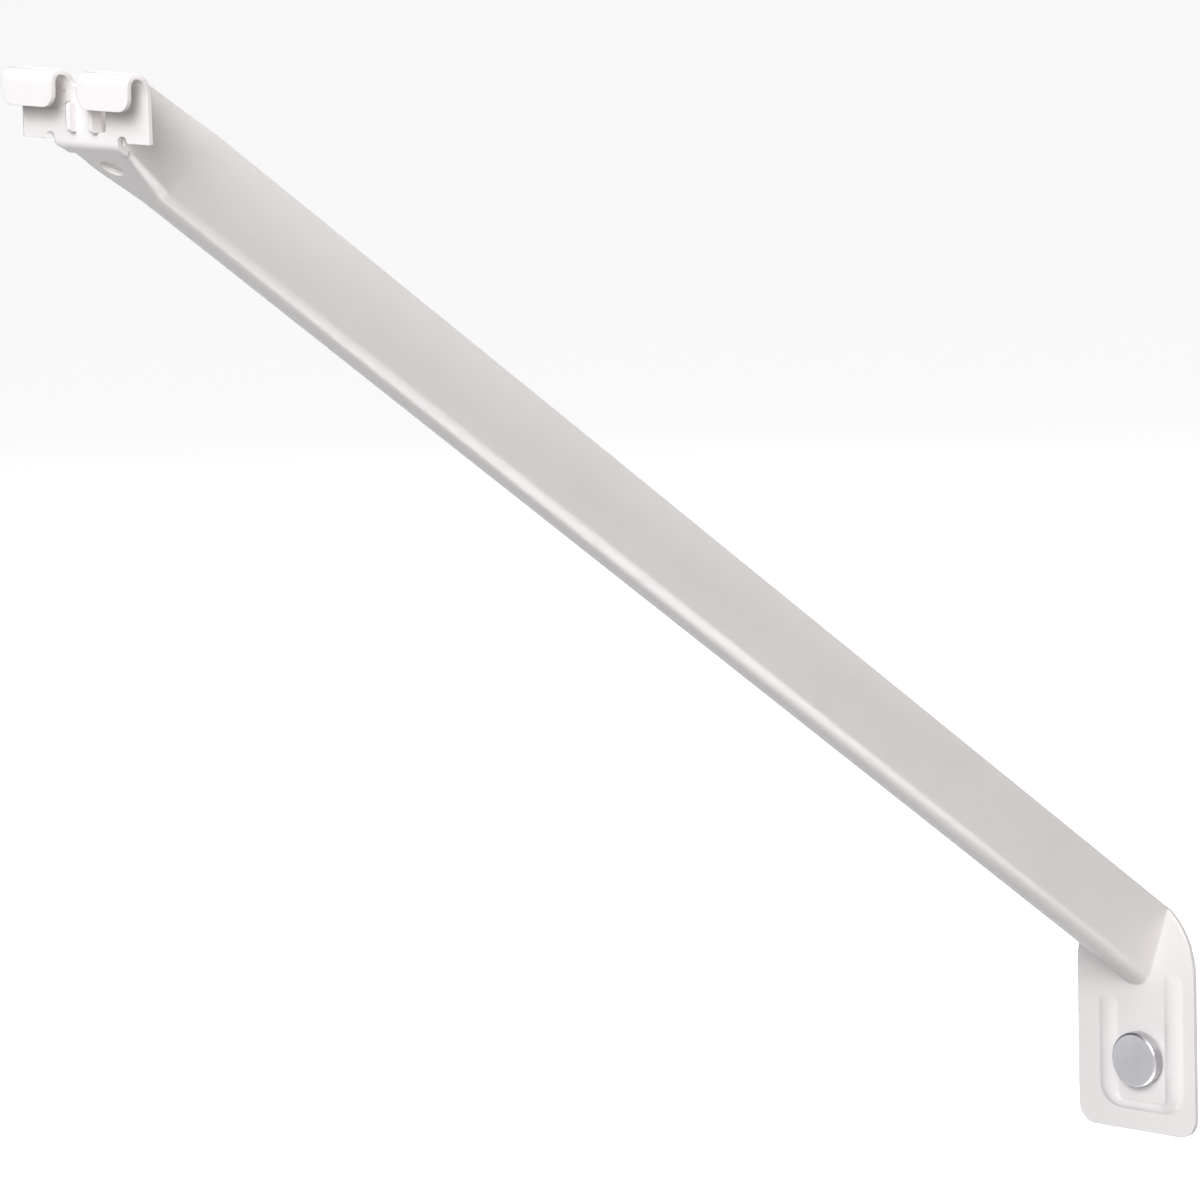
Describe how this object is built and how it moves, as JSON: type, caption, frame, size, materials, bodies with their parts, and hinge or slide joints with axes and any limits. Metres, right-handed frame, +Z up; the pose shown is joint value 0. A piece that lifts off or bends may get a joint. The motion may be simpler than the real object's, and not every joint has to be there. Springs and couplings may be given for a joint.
{
  "type": "wire shelf support bracket",
  "caption": "Slanted strut for a ventilated wire shelf: a folded sheet channel with a wall foot held by a drive pin and claws that hook under the shelf's front rod.",
  "frame": {"origin": "on the drive pin's axis, on the wall plane, which is the foot's back face", "axes": "+Y into the wall along the pin; the arm rises towards -Y; +Z up; +X to the right seen from the front"},
  "size_m": [0.032, 0.3148, 0.247],
  "materials": {
    "powder_coat": "semi-gloss white powder coat",
    "pin_zinc": "bright zinc plate, lightly scuffed",
    "anchor_nylon": "natural moulded nylon"
  },
  "bodies": {
    "root": {"bracket": "powder_coat", "drive_pin": "pin_zinc", "wall_anchor": "anchor_nylon"}
  },
  "joints": []
}
